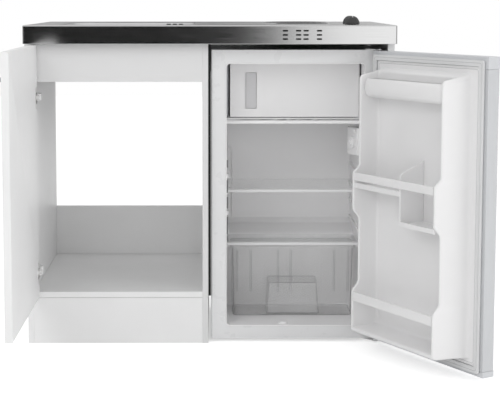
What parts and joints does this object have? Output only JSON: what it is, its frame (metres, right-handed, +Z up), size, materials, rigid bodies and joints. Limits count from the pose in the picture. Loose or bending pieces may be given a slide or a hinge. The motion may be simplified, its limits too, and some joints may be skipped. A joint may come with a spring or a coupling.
{
  "type": "kitchenette unit with sink and hob",
  "caption": "Compact kitchenette: stainless worktop with sink and two-plate hob over a white sink cabinet and a small refrigerator, doors open.",
  "frame": {"origin": "on the floor, middle of the foot of the cabinet side next to the refrigerator", "axes": "+X to the viewer's right along the front, +Y towards the wall, +Z up"},
  "size_m": [1.2072, 1.06, 0.897],
  "materials": {
    "white_board": "satin laminate",
    "stainless": "brushed",
    "cast_iron": "matt",
    "galvanised": "dull",
    "nickel": "polished",
    "black_plastic": "matt",
    "black_metal": "matt",
    "dark_plastic": "satin",
    "grey_plastic": "satin",
    "white_enamel": "gloss",
    "white_plastic": "satin",
    "aluminium_liner": "satin",
    "gasket": "matt",
    "clear_glass": "clear",
    "clear_plastic": "clear"
  },
  "bodies": {
    "carcass": {"worktop": "stainless", "sink_bowl": "stainless", "fridge_liner": "white_plastic", "condenser": "black_metal", "hob_pan": "galvanised", "compressor": "black_metal", "hotplate_rear": "cast_iron", "hotplate_front": "cast_iron", "sink_waste": "nickel", "hinge_plate_lower": "nickel", "hinge_plate_upper": "nickel", "fridge_casing": "white_enamel", "freezer_box": "aluminium_liner", "overflow_box": "dark_plastic", "switch_front": "dark_plastic", "switch_rear": "dark_plastic", "thermostat_housing": "white_plastic", "hotplate_rim_rear": "stainless", "hotplate_rim_front": "stainless", "fridge_foot_left": "black_plastic", "fridge_foot_right": "black_plastic", "fridge_hinge_top": "stainless", "fridge_hinge_bottom": "stainless", "drip_tray": "white_plastic", "crisper_cover_trim": "white_plastic", "side_panel_left": "white_board", "side_panel_middle": "white_board", "side_panel_right": "white_board", "gap_strip": "black_plastic", "cabinet_floor": "white_board", "plinth_board": "white_board", "front_rail": "white_board", "rear_rail": "white_board", "back_strip": "white_board", "niche_rail": "white_board", "crisper_cover_glass": "clear_glass"},
    "hinge_links": {"hinge_lever_lower": "nickel", "hinge_lever_upper": "nickel"},
    "sink_door": {"sink_door": "white_board", "hinge_cup_lower": "nickel", "hinge_cup_upper": "nickel", "sink_door_knob": "grey_plastic"},
    "fridge_door": {"fridge_door_top_bin": "white_plastic", "fridge_door_gasket": "gasket", "fridge_door_top_cap": "grey_plastic", "fridge_door_liner": "white_plastic", "fridge_door_bottom_cap": "grey_plastic", "fridge_door_panel": "white_enamel", "fridge_door_middle_rail": "white_plastic", "fridge_door_bottle_rail": "white_plastic", "fridge_door_shelf": "white_plastic"},
    "freezer_flap": {"freezer_flap": "white_plastic"},
    "shelf": {"upper_shelf_glass": "clear_glass", "upper_shelf_trim": "white_plastic"},
    "crisper": {"crisper_drawer": "clear_plastic", "crisper_insert": "clear_plastic"},
    "knob_front": {"control_knob_front": "dark_plastic"},
    "knob_rear": {"control_knob_rear": "dark_plastic"},
    "thermostat_dial": {"thermostat_dial": "white_plastic"}
  },
  "joints": [
    {"name": "hinge_link", "type": "hinge", "parent": "carcass", "child": "hinge_links", "pos_m": [-0.4583, -0.27785, 0.439], "axis": [0, 0, 1], "range_deg": [-72, 8.5]},
    {"name": "sink_door", "type": "hinge", "parent": "hinge_links", "child": "sink_door", "pos_m": [-0.4565, -0.295, 0.439], "axis": [0, 0, -1], "range_deg": [-161.5, 18.5]},
    {"name": "fridge_door", "type": "hinge", "parent": "carcass", "child": "fridge_door", "pos_m": [0.4665, -0.285, 0.41], "axis": [0, 0, 1], "range_deg": [-120, 10]},
    {"name": "freezer_flap", "type": "hinge", "parent": "carcass", "child": "freezer_flap", "pos_m": [0.4219, -0.173, 0.691], "axis": [0, 0, 1], "range_deg": [0, 75]},
    {"name": "shelf_slide", "type": "slide", "parent": "carcass", "child": "shelf", "axis": [0, -1, 0], "range_m": [0, 0.15]},
    {"name": "crisper_slide", "type": "slide", "parent": "carcass", "child": "crisper", "axis": [0, -1, 0], "range_m": [0, 0.07]},
    {"name": "knob_front", "type": "hinge", "parent": "carcass", "child": "knob_front", "pos_m": [0.4, -0.235, 0.885], "axis": [0, 0, 1], "range_deg": [0, 270]},
    {"name": "knob_rear", "type": "hinge", "parent": "carcass", "child": "knob_rear", "pos_m": [0.4, -0.177, 0.885], "axis": [0, 0, 1], "range_deg": [0, 270]},
    {"name": "thermostat_dial", "type": "hinge", "parent": "carcass", "child": "thermostat_dial", "pos_m": [0.41561, -0.1254, 0.539], "axis": [-0.891, -0.454, 0], "range_deg": [0, 270]}
  ],
  "couplings": [
    {"joint": "hinge_link", "follows": "sink_door", "ratio": 0.4427}
  ]
}
